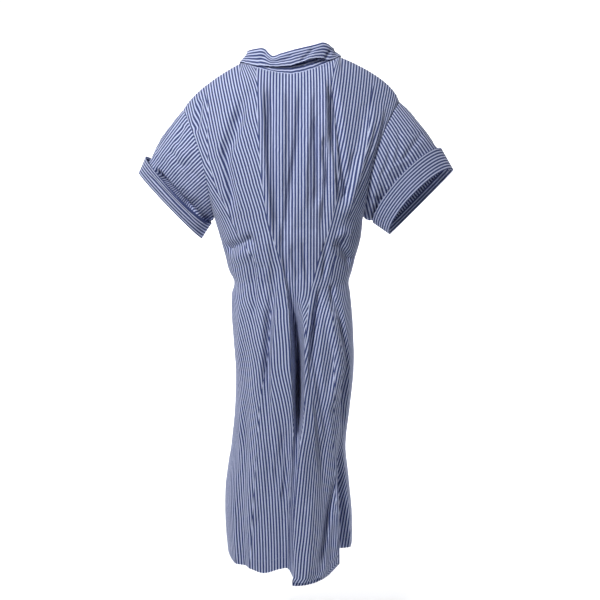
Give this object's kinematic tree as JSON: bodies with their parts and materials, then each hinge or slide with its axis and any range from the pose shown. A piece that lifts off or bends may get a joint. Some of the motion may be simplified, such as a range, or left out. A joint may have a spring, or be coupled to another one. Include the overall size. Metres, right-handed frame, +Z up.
{
  "type": "shirt dress",
  "caption": "Midi shirt dress in striped cotton poplin, filled out as worn: fold-down collar on a stand, short sleeves with turned-up cuffs, tucked waist, button front, narrow hem.",
  "frame": {"origin": "middle of the base of the neck, in the middle of the open neck hole, level with the inner ends of the shoulder seams, where the dress is held up", "axes": "+Z up; the back of the dress faces -Y and the buttoned front +Y; +X is the wearer's right side"},
  "size_m": [0.6793, 0.2693, 1.1436],
  "materials": {
    "striped_poplin": "plain-woven cotton poplin, blue and white vertical stripes, matt, lightly creased",
    "cross_striped_poplin": "the same striped poplin cut so that its stripes run along the collar and the cuffs",
    "pearl_resin": "polished pearly polyester resin"
  },
  "bodies": {
    "root": {"back_shoulder": "striped_poplin", "back_chest": "striped_poplin", "back_waist": "striped_poplin", "back_hip": "striped_poplin", "back_skirt": "striped_poplin", "front_left_shoulder": "striped_poplin", "front_left_chest": "striped_poplin", "front_left_waist": "striped_poplin", "front_left_hip": "striped_poplin", "front_left_skirt": "striped_poplin", "front_right_shoulder": "striped_poplin", "front_right_chest": "striped_poplin", "front_right_waist": "striped_poplin", "front_right_hip": "striped_poplin", "front_right_skirt": "striped_poplin", "sleeve_left": "striped_poplin", "sleeve_right": "striped_poplin", "cuff_left": "cross_striped_poplin", "cuff_right": "cross_striped_poplin", "collar_stand": "cross_striped_poplin", "collar_fall": "cross_striped_poplin", "button_01": "pearl_resin", "button_02": "pearl_resin", "button_03": "pearl_resin", "button_04": "pearl_resin", "button_05": "pearl_resin", "button_06": "pearl_resin", "button_07": "pearl_resin", "button_08": "pearl_resin", "button_09": "pearl_resin", "button_10": "pearl_resin"}
  },
  "joints": []
}
